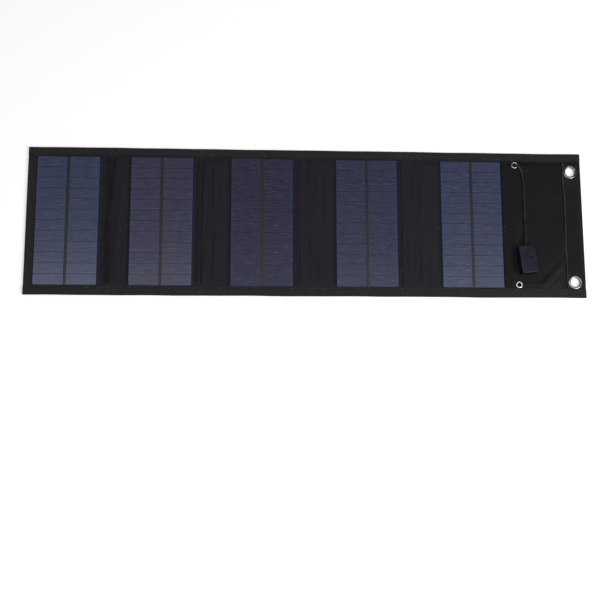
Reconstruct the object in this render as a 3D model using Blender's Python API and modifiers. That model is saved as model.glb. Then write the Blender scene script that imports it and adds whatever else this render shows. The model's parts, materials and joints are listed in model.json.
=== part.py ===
"""Folding solar charger: five rigid solar plates sewn into one long strip of coated cloth.

The strip lies flat along X, with its back on the ground (Z = 0) and its middle at the origin.
Each fold is a narrow cloth spine between two creases, so five plates roll up into one stack,
and the flap at the +X end wraps round the stack and closes on a hook-and-loop strip.
Distances called "from the left end" are measured along X from the strip's -X end.
Metres throughout, +Z up.
"""
from math import radians

import bmesh
import bpy
from mathutils import Matrix, Vector
from mathutils.geometry import interpolate_bezier

MM = 0.001
GAP = 0.3 * MM                      # clearance between touching pieces
CREASE = 0.15 * MM                  # each cloth stops this far from its crease line

# ---- the whole strip
LENGTH = 610 * MM
WIDTH = 164 * MM
HEM_SIDE_TOP = 9.8 * MM             # hem band along the +Y edge
HEM_SIDE_LOW = 10.2 * MM            # hem band along the -Y edge
HEM_LEFT = 9.2 * MM
HEM_RIGHT = 20.5 * MM

# ---- plates
PLATE_WIDTH = 67.5 * MM
PLATE_HEIGHT = 142.6 * MM
PLATE_LEFT = [10.0 * MM, 111.2 * MM, 220.2 * MM, 335.3 * MM, 451.5 * MM]    # from the left end
PLATE_CORNER = 0.8 * MM
WINDOW_MARGIN = 0.5 * MM            # front cloth's window round each plate

# ---- creases, from the left end: each spine runs from crease to crease + width
SPINE_START = [89.7 * MM, 187.9 * MM, 293.7 * MM, 406.8 * MM, 531.3 * MM]
SPINE_WIDTH = [7.4 * MM, 11.6 * MM, 15.8 * MM, 20.0 * MM, 28.0 * MM]
FOLD_HEIGHT = 2.3 * MM              # all crease axes lie at the top of the hem bands

# ---- layers, bottom and top of each above the ground
CLOTH = 0.4 * MM
FRONT_CLOTH = (1.2 * MM, 1.6 * MM)
HEM_BAND = (1.9 * MM, 2.3 * MM)
LINK_WIRE = (0.7 * MM, 0.9 * MM)
BACKBOARD = (0.7 * MM, 2.0 * MM)
CELLS = (2.3 * MM, 2.5 * MM)
COVER_FILM = (2.8 * MM, 3.1 * MM)

# ---- solar cells on each plate
CELL_ROWS = 12
ROW_PITCH = 11.7 * MM
ROW_GAP = 0.7 * MM
CELL_WIDTH = 30.1 * MM
STRING_GAP = 3.2 * MM               # bare strip between the two strings of cells
RIBBON_WIDTH = 1.6 * MM             # tab ribbon down the middle of each string

# ---- link wires in the spines
LINK_WIDTH = 6 * MM
LINK_Y = -35 * MM

# ---- hook and loop strips
LOOP_X = (331.8 * MM, 354.2 * MM)   # from the left end
LOOP_LENGTH = 156 * MM
HOOK_X = (591.0 * MM, 606.6 * MM)   # from the left end
HOOK_Y = (-55.6 * MM, 46.0 * MM)
HOOK_THICKNESS = 0.8 * MM

# ---- metal grommets at the flap's corners: 10 mm hole
GROMMET_X = 598.0 * MM              # from the left end
GROMMET_Y = {"upper": 60.8 * MM, "lower": -64.4 * MM}
GROMMET_HOLE_R = 5.0 * MM
GROMMET_BARREL_R = 5.5 * MM
GROMMET_FLANGE_R = 7.9 * MM
FLANGE_THICKNESS = 0.7 * MM

# ---- small eyelets beside the last plate
EYELET_X = 535.5 * MM               # from the left end
EYELET_UPPER_Y = 68.0 * MM
EYELET_LOWER_Y = -67.6 * MM
EYELET_HOLE_R = 2.1 * MM
EYELET_BARREL_R = 2.5 * MM
EYELET_FLANGE_R = 3.9 * MM
EYELET_FLANGE = 0.4 * MM

# ---- output lead: a short cable and a moulded socket box
CABLE_R = 1.3 * MM
LEAD_PIVOT_Z = 3.9 * MM
CABLE_ROUTE = [                     # from the left end, Y and Z of the cable's centre line, in mm
    (535.5, 68.0, 3.9), (539.6, 65.5, 3.7), (542.6, 60.5, 3.3), (543.8, 52.0, 3.2),
    (544.3, 40.0, 3.2), (544.4, 26.0, 3.2), (544.3, 12.0, 3.2), (544.1, -1.0, 3.4),
    (543.8, -11.0, 4.6), (543.3, -19.0, 6.7), (542.75, -25.2, 7.4),
]
BOX_X = 544.6 * MM                  # from the left end
BOX_Y = -40.5 * MM
BOX_TURN = radians(6.5)
BOX_SIZE = (19.2 * MM, 31.2 * MM, 11.0 * MM)
BOX_FLOOR = FRONT_CLOTH[1] + GAP
BOX_WALL = 1.2 * MM
BOX_EDGE = 1.4 * MM                 # rounding of the box's outer edges
SOCKET_SIZE = (13.2 * MM, 13.8 * MM, 5.7 * MM)
SOCKET_WALL = 0.3 * MM
TONGUE_SIZE = (11.2 * MM, 10.4 * MM, 1.8 * MM)
BOARD_SIZE = (15.6 * MM, 14.2 * MM, 1.0 * MM)
LED_R = 0.9 * MM
LED_POS = (2.6 * MM, 1.0 * MM)      # on the box's own axes, from its middle
COIL_R = 3.0 * MM
COIL_HEIGHT = 3.0 * MM

ROUND_SIDES = 32
SMALL_SIDES = 20

COLLECTION = bpy.data.collections.new("solar_panel")
CUTTERS = bpy.data.collections.new("cutters")
FRAMES = {}                         # body name to its empty


# ---------------------------------------------------------------- scene, materials, frames

def clear_scene():
    """Empties the scene and links the two collections."""
    for obj in list(bpy.data.objects):
        bpy.data.objects.remove(obj)
    bpy.context.scene.collection.children.link(COLLECTION)
    bpy.context.scene.collection.children.link(CUTTERS)


def make_material(name, colour, roughness, metallic=0.0, alpha=1.0):
    """One Principled material."""
    material = bpy.data.materials.new(name)
    material.use_nodes = True
    shader = material.node_tree.nodes["Principled BSDF"]
    shader.inputs["Base Color"].default_value = (*colour, 1.0)
    shader.inputs["Roughness"].default_value = roughness
    shader.inputs["Metallic"].default_value = metallic
    shader.inputs["Alpha"].default_value = alpha
    return material


def make_materials():
    """Every finish on the object, by name."""
    return {
        "cloth": make_material("cloth", (0.018, 0.018, 0.021), 0.8),
        "board": make_material("board", (0.045, 0.055, 0.06), 0.6),
        "cell": make_material("cell", (0.03, 0.032, 0.07), 0.35),
        "film": make_material("film", (0.05, 0.055, 0.09), 0.25, alpha=0.35),
        "copper": make_material("copper", (0.7, 0.66, 0.6), 0.35, metallic=1.0),
        "fastener": make_material("fastener", (0.012, 0.012, 0.013), 0.95),
        "nickel": make_material("nickel", (0.62, 0.62, 0.64), 0.25, metallic=1.0),
        "case": make_material("case", (0.03, 0.03, 0.036), 0.45),
        "cable": make_material("cable", (0.02, 0.02, 0.022), 0.5),
        "circuit": make_material("circuit", (0.02, 0.16, 0.07), 0.5),
        "tongue": make_material("tongue", (0.85, 0.85, 0.83), 0.5),
        "led": make_material("led", (0.75, 0.8, 0.78), 0.2),
    }


def from_left(distance):
    """The X of a point given by its distance from the left end."""
    return distance - LENGTH / 2


def add_frame(name, parent, pivot):
    """An empty on a body's joint axis, which that body's pieces hang from."""
    frame = bpy.data.objects.new(name + "_frame", None)
    frame.empty_display_size = 0.01
    COLLECTION.objects.link(frame)
    origin = Vector((0, 0, 0))
    if parent:
        frame.parent = FRAMES[parent][0]
        origin = FRAMES[parent][1]
    frame.location = Vector(pivot) - origin
    FRAMES[name] = (frame, Vector(pivot))


def make_frames():
    """The fold's chain of bodies: panel 5 stays put, everything else hangs from it."""
    add_frame("panel_5", None, (0, 0, 0))
    for k in (4, 3, 2, 1):
        start = from_left(SPINE_START[k - 1])
        end = start + SPINE_WIDTH[k - 1]
        add_frame(f"spine_{k}", f"panel_{k + 1}", (end, 0, FOLD_HEIGHT))
        add_frame(f"panel_{k}", f"spine_{k}", (start, 0, FOLD_HEIGHT))
    start = from_left(SPINE_START[4])
    add_frame("spine_5", "panel_5", (start, 0, FOLD_HEIGHT))
    add_frame("flap", "spine_5", (start + SPINE_WIDTH[4], 0, FOLD_HEIGHT))
    add_frame("usb_lead", "spine_5", (from_left(EYELET_X), EYELET_UPPER_Y, LEAD_PIVOT_Z))


def hang(obj, body, material):
    """Parents a piece that stands at its world place to its body, and gives it its finish."""
    frame, pivot = FRAMES[body]
    obj.parent = frame
    obj.location = obj.location - pivot
    obj.data.materials.append(material)


# ---------------------------------------------------------------- basic shapes

def new_object(name, bm, centre=(0, 0, 0), collection=COLLECTION):
    """Turns a bmesh into a named object standing at centre."""
    mesh = bpy.data.meshes.new(name)
    bm.to_mesh(mesh)
    bm.free()
    obj = bpy.data.objects.new(name, mesh)
    obj.location = centre
    collection.objects.link(obj)
    return obj


def box_bmesh(size, corner=0.0, segments=1):
    """A box about the origin, its four upright edges rounded by corner."""
    bm = bmesh.new()
    bmesh.ops.create_cube(bm, size=1.0, matrix=Matrix.Diagonal((*size, 1.0)))
    if corner:
        upright = [e for e in bm.edges if abs(e.verts[0].co.z - e.verts[1].co.z) > size[2] / 2]
        bmesh.ops.bevel(bm, geom=upright, offset=corner, segments=segments, affect="EDGES", profile=0.5)
    return bm


def add_block(name, low, high, corner=0.0, collection=COLLECTION):
    """A box from its lowest corner to its highest."""
    low, high = Vector(low), Vector(high)
    return new_object(name, box_bmesh(high - low, corner), (low + high) / 2, collection)


def add_turned(name, profile, sides, centre):
    """A closed ring or disc: profile runs down its outer side, as (radius, height) points."""
    bm = bmesh.new()
    verts = [bm.verts.new((radius, 0, height)) for radius, height in profile]
    closed = profile[0][0] > 0
    for a, b in zip(verts, verts[1:] + (verts[:1] if closed else [])):
        bm.edges.new((a, b))
    obj = new_object(name, bm, centre)
    screw = obj.modifiers.new("Screw", "SCREW")
    screw.axis = "Z"
    screw.steps = sides
    screw.render_steps = sides
    screw.use_merge_vertices = True
    screw.merge_threshold = 0.00001
    screw.use_smooth_shade = True
    return obj


def add_cutter(name, obj_maker, *args, **keywords):
    """A cutting shape, kept out of the model."""
    cutter = obj_maker(name, *args, **keywords, collection=CUTTERS)
    cutter.hide_render = True
    cutter.display_type = "WIRE"
    return cutter


def add_drum(name, radius, low_z, high_z, centre_xy, sides=ROUND_SIDES, collection=COLLECTION):
    """An upright cylinder."""
    bm = bmesh.new()
    bmesh.ops.create_cone(bm, cap_ends=True, segments=sides, radius1=radius, radius2=radius,
                          depth=high_z - low_z)
    obj = new_object(name, bm, (*centre_xy, (low_z + high_z) / 2), collection)
    obj.data.shade_smooth()
    obj.data.set_sharp_from_angle(angle=radians(40))
    return obj


def cut(obj, cutter):
    """Takes cutter's shape out of obj."""
    boolean = obj.modifiers.new(cutter.name, "BOOLEAN")
    boolean.operation = "DIFFERENCE"
    boolean.solver = "EXACT"
    boolean.object = cutter


# ---------------------------------------------------------------- cloth

def add_back_cloth(name, x0, x1, hem_left=0.0, hem_right=0.0):
    """Back cloth from x0 to x1 whose edges fold over to the front as flat hem bands."""
    half = WIDTH / 2
    beyond = 5 * MM
    cloth = add_block(name, (x0, -half, 0), (x1, half, HEM_BAND[1]))
    inner = (x0 + CLOTH if hem_left else x0 - beyond, x1 - CLOTH if hem_right else x1 + beyond)
    window = (x0 + hem_left if hem_left else x0 - beyond, x1 - hem_right if hem_right else x1 + beyond)
    pocket = add_cutter(name + "_pocket", add_block, (inner[0], -half + CLOTH, CLOTH),
                        (inner[1], half - CLOTH, HEM_BAND[0]))
    mouth = add_cutter(name + "_mouth", add_block, (window[0], -half + HEM_SIDE_LOW, CLOTH + GAP),
                       (window[1], half - HEM_SIDE_TOP, HEM_BAND[1] + beyond))
    cut(cloth, pocket)
    cut(cloth, mouth)
    return cloth


def add_front_cloth(name, x0, x1, hem_left=0.0, hem_right=0.0):
    """Front cloth, tucked under the hem bands."""
    inset = CLOTH + GAP
    half = WIDTH / 2 - inset
    low_x = x0 + inset if hem_left else x0
    high_x = x1 - inset if hem_right else x1
    return add_block(name, (low_x, -half, FRONT_CLOTH[0]), (high_x, half, FRONT_CLOTH[1]))


def body_span(body):
    """Where a body's cloth starts and ends in X, between its creases."""
    kind, _, number = body.partition("_")
    if kind == "flap":
        return from_left(SPINE_START[4] + SPINE_WIDTH[4]) + CREASE, from_left(LENGTH)
    k = int(number) - 1
    if kind == "spine":
        start = from_left(SPINE_START[k])
        return start + CREASE, start + SPINE_WIDTH[k] - CREASE
    start = from_left(SPINE_START[k - 1] + SPINE_WIDTH[k - 1]) + CREASE if k else from_left(0)
    return start, from_left(SPINE_START[k]) - CREASE


def make_cloth(body, finishes, hem_left=0.0, hem_right=0.0):
    """A body's back and front cloth."""
    x0, x1 = body_span(body)
    back = add_back_cloth(body + "_back_cloth", x0, x1, hem_left, hem_right)
    front = add_front_cloth(body + "_front_cloth", x0, x1, hem_left, hem_right)
    hang(back, body, finishes["cloth"])
    hang(front, body, finishes["cloth"])
    return back, front


def make_link_wire(k, finishes):
    """The flat wire that joins neighbouring plates, between a spine's two cloths."""
    x0, x1 = body_span(f"spine_{k}")
    wire = add_block(f"link_wire_{k}", (x0 + GAP, LINK_Y - LINK_WIDTH / 2, LINK_WIRE[0]),
                     (x1 - GAP, LINK_Y + LINK_WIDTH / 2, LINK_WIRE[1]), corner=0.5 * MM)
    hang(wire, f"spine_{k}", finishes["copper"])


# ---------------------------------------------------------------- plates

def plate_box(k, layer, margin=0.0):
    """Lowest and highest corner of one layer of plate k."""
    left = from_left(PLATE_LEFT[k - 1])
    half = PLATE_HEIGHT / 2 + margin
    return (left - margin, -half, layer[0]), (left + PLATE_WIDTH + margin, half, layer[1])


def cell_bmesh():
    """Two strings of cells joined by tab ribbons, one closed body about the origin."""
    ribbon = RIBBON_WIDTH / 2
    middle = (CELL_WIDTH + STRING_GAP) / 2
    bm = bmesh.new()
    lines = {}

    def corner(x, y):
        key = (round(x / MM, 4), round(y / MM, 4))
        if key not in lines:
            lines[key] = bm.verts.new((x, y, 0))
        return lines[key]

    def patch(x0, x1, y0, y1):
        bm.faces.new((corner(x0, y0), corner(x1, y0), corner(x1, y1), corner(x0, y1)))

    for side in (-1, 1):
        columns = [side * middle + offset for offset in (-CELL_WIDTH / 2, -ribbon, ribbon, CELL_WIDTH / 2)]
        for row in range(CELL_ROWS):
            low = (row - CELL_ROWS / 2) * ROW_PITCH + ROW_GAP / 2
            high = low + ROW_PITCH - ROW_GAP
            for x0, x1 in zip(columns, columns[1:]):
                patch(x0, x1, low, high)
            if row < CELL_ROWS - 1:
                patch(columns[1], columns[2], high, high + ROW_GAP)
    top = CELL_ROWS / 2 * ROW_PITCH - ROW_GAP / 2
    bus = [-middle - ribbon, -middle + ribbon, middle - ribbon, middle + ribbon]
    for x0, x1 in zip(bus, bus[1:]):
        patch(x0, x1, top, top + RIBBON_WIDTH / 2)
    return bm


def make_plate(k, finishes, cell_mesh):
    """Backboard, cells and cover film of plate k, and its front cloth's window."""
    body = f"panel_{k}"
    board = add_block(f"backboard_{k}", *plate_box(k, BACKBOARD), corner=PLATE_CORNER)
    film = add_block(f"cover_film_{k}", *plate_box(k, COVER_FILM), corner=PLATE_CORNER)
    cells = bpy.data.objects.new(f"cell_array_{k}", cell_mesh)
    cells.location = (from_left(PLATE_LEFT[k - 1]) + PLATE_WIDTH / 2, 0, CELLS[0])
    COLLECTION.objects.link(cells)
    solidify = cells.modifiers.new("Solidify", "SOLIDIFY")
    solidify.thickness = CELLS[1] - CELLS[0]
    solidify.offset = 1.0
    hang(board, body, finishes["board"])
    hang(film, body, finishes["film"])
    cells.parent = FRAMES[body][0]
    cells.location = cells.location - FRAMES[body][1]
    window = (FRONT_CLOTH[0] - MM, FRONT_CLOTH[1] + MM)
    return add_cutter(f"window_{k}", add_block, *plate_box(k, window, WINDOW_MARGIN))


def make_panels(finishes):
    """Five panels, each a plate between two cloths."""
    cell_mesh = bpy.data.meshes.new("cells")
    bm = cell_bmesh()
    bm.to_mesh(cell_mesh)
    bm.free()
    cell_mesh.materials.append(finishes["cell"])
    back_cloths = {}
    for k in range(1, 6):
        back, front = make_cloth(f"panel_{k}", finishes, hem_left=HEM_LEFT if k == 1 else 0.0)
        cut(front, make_plate(k, finishes, cell_mesh))
        back_cloths[k] = back
    make_loop_strip(back_cloths[4], finishes)


# ---------------------------------------------------------------- hook and loop

def make_loop_strip(back_cloth, finishes):
    """Loop strip let into the back of panel 4, flush with the cloth."""
    x0, x1 = from_left(LOOP_X[0]), from_left(LOOP_X[1])
    half = LOOP_LENGTH / 2
    strip = add_block("loop_strip", (x0, -half, 0), (x1, half, CLOTH))
    recess = add_cutter("loop_recess", add_block, (x0 - GAP, -half - GAP, -MM),
                        (x1 + GAP, half + GAP, CLOTH + GAP / 2))
    cut(back_cloth, recess)
    hang(strip, "panel_4", finishes["fastener"])


def make_hook_strip(finishes):
    """Hook strip on the flap's wide end hem."""
    low = HEM_BAND[1] + GAP
    strip = add_block("hook_strip", (from_left(HOOK_X[0]), HOOK_Y[0], low),
                      (from_left(HOOK_X[1]), HOOK_Y[1], low + HOOK_THICKNESS))
    hang(strip, "flap", finishes["fastener"])


# ---------------------------------------------------------------- grommets and eyelets

def ring_profile(hole, barrel, flange, low, flange_low, flange_high):
    """A flanged tube: flange on top, barrel below."""
    return [(hole, flange_high), (flange * 0.8 + hole * 0.2, flange_high), (flange, flange_low + GAP / 2),
            (flange, flange_low), (barrel, flange_low), (barrel, low), (hole, low)]


def drill(cloths, name, radius, centre_xy, sides):
    """Drills one upright hole through each cloth."""
    drum = add_cutter(name, add_drum, radius, -MM, HEM_BAND[1] + MM, centre_xy, sides)
    for cloth in cloths:
        cut(cloth, drum)


def make_grommet(which, cloths, finishes):
    """A big grommet and its washer, through every layer of the flap's end hem."""
    centre = (from_left(GROMMET_X), GROMMET_Y[which])
    seat = HEM_BAND[1] + GAP
    profile = ring_profile(GROMMET_HOLE_R, GROMMET_BARREL_R, GROMMET_FLANGE_R, 0, seat,
                           seat + FLANGE_THICKNESS)
    grommet = add_turned(f"grommet_{which}", profile, ROUND_SIDES, (*centre, 0))
    hang(grommet, "flap", finishes["nickel"])
    washer_hole = GROMMET_BARREL_R + GAP
    washer = add_turned(f"grommet_washer_{which}",
                        [(washer_hole, CLOTH), (GROMMET_FLANGE_R, CLOTH), (GROMMET_FLANGE_R, 0),
                         (washer_hole, 0)], ROUND_SIDES, (*centre, 0))
    hang(washer, "flap", finishes["nickel"])
    drill(cloths, f"grommet_hole_{which}", washer_hole, centre, ROUND_SIDES)
    seat_cutter = add_cutter(f"washer_seat_{which}", add_drum, GROMMET_FLANGE_R + GAP, -MM,
                             CLOTH + GAP, centre, ROUND_SIDES)
    cut(cloths[0], seat_cutter)


def make_flap(finishes):
    """The closing flap with its two grommets and hook strip."""
    cloths = make_cloth("flap", finishes, hem_right=HEM_RIGHT)
    for which in ("upper", "lower"):
        make_grommet(which, cloths, finishes)
    make_hook_strip(finishes)


def make_eyelets(cloths, finishes):
    """The cable's eyelet through the front cloth, and the plain one through both cloths."""
    back, front = cloths
    seat = FRONT_CLOTH[1] + GAP
    upper = (from_left(EYELET_X), EYELET_UPPER_Y)
    lower = (from_left(EYELET_X), EYELET_LOWER_Y)
    for name, centre, low in (("eyelet_upper", upper, CLOTH + GAP), ("eyelet_lower", lower, 0)):
        profile = ring_profile(EYELET_HOLE_R, EYELET_BARREL_R, EYELET_FLANGE_R, low, seat,
                               seat + EYELET_FLANGE)
        eyelet = add_turned(name, profile, SMALL_SIDES, (*centre, 0))
        hang(eyelet, "spine_5", finishes["nickel"])
    clear = EYELET_BARREL_R + GAP
    drill([front], "eyelet_hole_upper", clear, upper, SMALL_SIDES)
    drill([front, back], "eyelet_hole_lower", clear, lower, SMALL_SIDES)


# ---------------------------------------------------------------- output lead

def route_points():
    """The cable's centre line: a smooth curve through its route's points."""
    knots = [Vector((from_left(x * MM), y * MM, z * MM)) for x, y, z in CABLE_ROUTE]
    points = [knots[0]]
    for i in range(len(knots) - 1):
        before = knots[max(i - 1, 0)]
        after = knots[min(i + 2, len(knots) - 1)]
        handle_a = knots[i] + (knots[i + 1] - before) / 6
        handle_b = knots[i + 1] - (after - knots[i]) / 6
        points += interpolate_bezier(knots[i], handle_a, handle_b, knots[i + 1], 3)[1:]
    return points


def make_cable(finishes):
    """The thin cable from the eyelet to the socket box, and its root in the eyelet."""
    curve = bpy.data.curves.new("usb_cable", "CURVE")
    curve.dimensions = "3D"
    curve.bevel_depth = CABLE_R
    curve.bevel_resolution = 2
    curve.use_fill_caps = True
    points = route_points()
    spline = curve.splines.new("POLY")
    spline.points.add(len(points) - 1)
    pivot = FRAMES["usb_lead"][1]
    for spot, point in zip(spline.points, points):
        spot.co = (*(point - pivot), 1.0)
    cable = bpy.data.objects.new("usb_cable", curve)
    COLLECTION.objects.link(cable)
    cable.parent = FRAMES["usb_lead"][0]
    curve.materials.append(finishes["cable"])
    root = add_drum("cable_root", CABLE_R + 0.2 * MM, CLOTH + GAP, LEAD_PIVOT_Z - CABLE_R - GAP,
                    (from_left(EYELET_X), EYELET_UPPER_Y), sides=SMALL_SIDES)
    hang(root, "spine_5", finishes["cable"])


def shell_bmesh(size, open_up):
    """Half a case about the origin: five walls with rounded edges, open above or below."""
    bm = box_bmesh(size)
    side = 1 if open_up else -1
    mouth = [f for f in bm.faces if f.normal.z * side > 0.9]
    bmesh.ops.delete(bm, geom=mouth, context="FACES")
    outer = [e for e in bm.edges if not e.is_boundary]
    bmesh.ops.bevel(bm, geom=outer, offset=BOX_EDGE, segments=2, affect="EDGES", profile=0.5)
    return bm


def solidify_inward(obj, wall):
    """Gives an open surface its wall, inside the surface."""
    solidify = obj.modifiers.new("Solidify", "SOLIDIFY")
    solidify.thickness = wall
    solidify.offset = -1.0
    solidify.use_even_offset = True


def hang_in_box(obj, frame, material):
    """Parents a piece given on the socket box's own axes."""
    obj.parent = frame
    if material:
        obj.data.materials.append(material)


def add_box_cutters(frame, low_z, high_z):
    """Cutters for the socket's mouth, the cable's hole and the lamp's hole."""
    width, length, _ = BOX_SIZE
    middle = (low_z + high_z) / 2
    socket_x, _, socket_z = (side / 2 + GAP for side in SOCKET_SIZE)
    mouth = add_cutter("socket_mouth", add_block, (-socket_x, -length / 2 - MM, middle - socket_z),
                       (socket_x, -length / 2 + 3 * MM, middle + socket_z))
    entry = add_cutter("cable_entry", add_drum, CABLE_R + GAP, -3 * MM, 3 * MM, (0, 0), SMALL_SIDES)
    entry.rotation_euler = (radians(90), 0, 0)
    entry.location = (0, length / 2, middle)
    lamp = add_cutter("lamp_hole", add_drum, LED_R + GAP, high_z - 3 * MM, high_z + MM, LED_POS,
                      SMALL_SIDES)
    for cutter in (mouth, entry, lamp):
        cutter.parent = frame
    return mouth, entry, lamp


def make_socket_box(finishes):
    """The moulded box with its socket, circuit board, coil and lamp."""
    frame = bpy.data.objects.new("socket_box_frame", None)
    COLLECTION.objects.link(frame)
    frame.parent = FRAMES["usb_lead"][0]
    frame.location = Vector((from_left(BOX_X), BOX_Y, BOX_FLOOR)) - FRAMES["usb_lead"][1]
    frame.rotation_euler = (0, 0, BOX_TURN)
    width, length, height = BOX_SIZE
    half = height / 2
    mouth, entry, lamp = add_box_cutters(frame, 0, height)
    half_shell = (width, length, half - GAP / 2)
    for name, open_up, centre_z in (("case_bottom", True, half_shell[2] / 2),
                                    ("case_top", False, height - half_shell[2] / 2)):
        shell = new_object(name, shell_bmesh(half_shell, open_up), (0, 0, centre_z))
        solidify_inward(shell, BOX_WALL)
        hang_in_box(shell, frame, finishes["case"])
        cut(shell, mouth)
        cut(shell, entry)
        if not open_up:
            cut(shell, lamp)
    bm = box_bmesh(SOCKET_SIZE)
    bmesh.ops.delete(bm, geom=[f for f in bm.faces if f.normal.y < -0.9], context="FACES")
    socket_y = -length / 2 + SOCKET_SIZE[1] / 2 + GAP
    socket = new_object("socket_shell", bm, (0, socket_y, half))
    solidify_inward(socket, SOCKET_WALL)
    hang_in_box(socket, frame, finishes["nickel"])
    tongue_back = socket_y + SOCKET_SIZE[1] / 2 - SOCKET_WALL - GAP
    tongue = new_object("socket_tongue", box_bmesh(TONGUE_SIZE, corner=0.6 * MM),
                        (0, tongue_back - TONGUE_SIZE[1] / 2, half + 0.8 * MM))
    hang_in_box(tongue, frame, finishes["tongue"])
    board_z = 3.4 * MM
    board_y = length / 2 - BOX_WALL - GAP - BOARD_SIZE[1] / 2
    board = new_object("circuit_board", box_bmesh(BOARD_SIZE, corner=0.6 * MM), (0, board_y, board_z))
    hang_in_box(board, frame, finishes["circuit"])
    on_board = board_z + BOARD_SIZE[2] / 2 + GAP
    lamp_body = add_drum("charge_lamp", LED_R, on_board, height - 0.1 * MM, LED_POS, SMALL_SIDES)
    hang_in_box(lamp_body, frame, finishes["led"])
    coil = add_drum("power_coil", COIL_R, on_board, on_board + COIL_HEIGHT, (-3.2 * MM, 6.5 * MM),
                    SMALL_SIDES)
    hang_in_box(coil, frame, finishes["copper"])


def main():
    """Builds the whole object."""
    clear_scene()
    finishes = make_materials()
    make_frames()
    make_panels(finishes)
    for k in range(1, 5):
        make_cloth(f"spine_{k}", finishes)
        make_link_wire(k, finishes)
    spine_cloths = make_cloth("spine_5", finishes)
    make_link_wire(5, finishes)
    make_eyelets(spine_cloths, finishes)
    make_flap(finishes)
    make_cable(finishes)
    make_socket_box(finishes)


main()
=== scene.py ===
"""Looks of the folding solar strip: cloth, cells, stitches, hardware, lead, light and camera.

Lengths are in millimetres in the row frame until a mesh is made, and in metres from there on.
"""
import json
import math

import bmesh
import bpy
import numpy as np
from mathutils import Matrix, Vector


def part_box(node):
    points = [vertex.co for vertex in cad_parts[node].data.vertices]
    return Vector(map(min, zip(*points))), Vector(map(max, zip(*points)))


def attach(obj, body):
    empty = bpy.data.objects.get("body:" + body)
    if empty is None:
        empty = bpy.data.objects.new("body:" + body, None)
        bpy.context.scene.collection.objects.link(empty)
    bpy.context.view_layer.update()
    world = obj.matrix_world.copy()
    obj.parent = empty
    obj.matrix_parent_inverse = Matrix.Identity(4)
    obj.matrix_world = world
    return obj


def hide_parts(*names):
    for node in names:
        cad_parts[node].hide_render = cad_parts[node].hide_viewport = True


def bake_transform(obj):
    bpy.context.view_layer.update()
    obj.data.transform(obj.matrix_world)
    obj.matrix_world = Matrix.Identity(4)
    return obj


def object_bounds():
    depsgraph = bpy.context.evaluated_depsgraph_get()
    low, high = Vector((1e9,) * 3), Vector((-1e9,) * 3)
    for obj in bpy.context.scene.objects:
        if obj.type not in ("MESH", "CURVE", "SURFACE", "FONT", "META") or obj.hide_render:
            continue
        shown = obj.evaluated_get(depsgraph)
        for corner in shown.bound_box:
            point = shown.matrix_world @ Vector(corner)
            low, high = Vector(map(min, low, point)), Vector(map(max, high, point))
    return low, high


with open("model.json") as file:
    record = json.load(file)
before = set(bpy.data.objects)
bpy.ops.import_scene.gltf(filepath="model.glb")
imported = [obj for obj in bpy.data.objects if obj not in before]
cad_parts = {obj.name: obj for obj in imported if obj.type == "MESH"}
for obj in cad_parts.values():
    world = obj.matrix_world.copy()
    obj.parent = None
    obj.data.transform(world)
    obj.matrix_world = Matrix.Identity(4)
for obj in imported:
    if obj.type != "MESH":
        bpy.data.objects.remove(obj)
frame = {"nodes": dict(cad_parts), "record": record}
cad_low, cad_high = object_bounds()
record = frame["record"]

MM = 0.001

# ---- places taken from the frame
JOINTS = {j["name"]: j for j in record["behaviour"]["joints"]}
PANELS = range(1, 6)


def crease_joints():
    """The ten crease joints from left to right."""
    names = []
    for k in range(1, 5):
        names += [f"fold_{k}_far", f"fold_{k}"]
    return names + ["flap_fold", "flap_fold_far"]


CREASES = [JOINTS[name]["pos_m"][0] / MM for name in crease_joints()]
BODIES = [f"{kind}_{k}" for k in PANELS for kind in ("panel", "spine")] + ["flap"]
HALF_LENGTH = cad_high.x / MM
HALF_WIDTH = cad_high.y / MM


def box_mm(node):
    """Lowest and highest corner of a CAD node, in millimetres."""
    low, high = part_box(node)
    return np.array(low) / MM, np.array(high) / MM


PLATES = [box_mm(f"backboard_{k}") for k in PANELS]


def middle_xy(node):
    low, high = box_mm(node)
    return (low[0] + high[0]) / 2, (low[1] + high[1]) / 2


GROMMETS = [middle_xy("grommet_upper"), middle_xy("grommet_lower")]
EYELETS = [middle_xy("eyelet_upper"), middle_xy("eyelet_lower")]

# ---- sizes of the sewn work
CLOTH = 0.34  # thickness of one cloth
BACK_Z = 0.2  # middle of the back cloth
FRONT_Z = 1.45  # middle of the front cloth where it lies flat
BAND_TOP = 72.2  # inner edges of the long hems
BAND_BOTTOM = -71.8
HEM_LEFT = -295.8  # inner edges of the end hems
HEM_RIGHT = 284.5
HEM_SEAM = 2.0  # the long hems' seams lie this far outside their inner edges
TURN = 0.95  # radius of the long hems' folded edge
EDGE_INSET = 0.25  # the long hems' folds stay this far inside the strip's sides
END_RISE = 1.6  # height of the end hems' upper layer over the back cloth
END_RISE_CORNER = 0.8  # the same under the long hems
STITCH_PITCH = 3.0
STITCH_OUT = 3.3  # plate stitches lie this far outside a plate's long sides
FRONT_MARGIN = 4.0  # the front cloth stops this far inside the strip's sides
FRONT_END = 3.0  # and this far inside its ends
FRONT_LIMITS = (0.95, 2.75)  # its middle stays between these, so that the folded stack still fits
WINDOW_MARGIN = 0.3  # its window round each plate
GROMMET_CUT = 6.4  # radius of the cloths' holes under the grommets
EYELET_CUT = 3.0
GROUND_Z = 2.02  # bottom and top of a plate's base laminate
CELLS_Z = 2.62
FLOOR_Z = -1.1
FLOOR_REACH = 3000.0

LONG_FOLD = HALF_WIDTH - CLOTH / 2 - TURN - EDGE_INSET  # where the long hems start to turn over
END_FOLD = HALF_LENGTH - CLOTH / 2 - END_RISE / 2  # where the end hems do
LONG_TURN = math.pi * TURN  # cloth in each turn
END_TURN = math.pi * END_RISE / 2
LONG_SIDE = LONG_FOLD + LONG_TURN / 2  # the outermost line of each hem's cloth
END_SIDE = END_FOLD + 1.2

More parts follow.
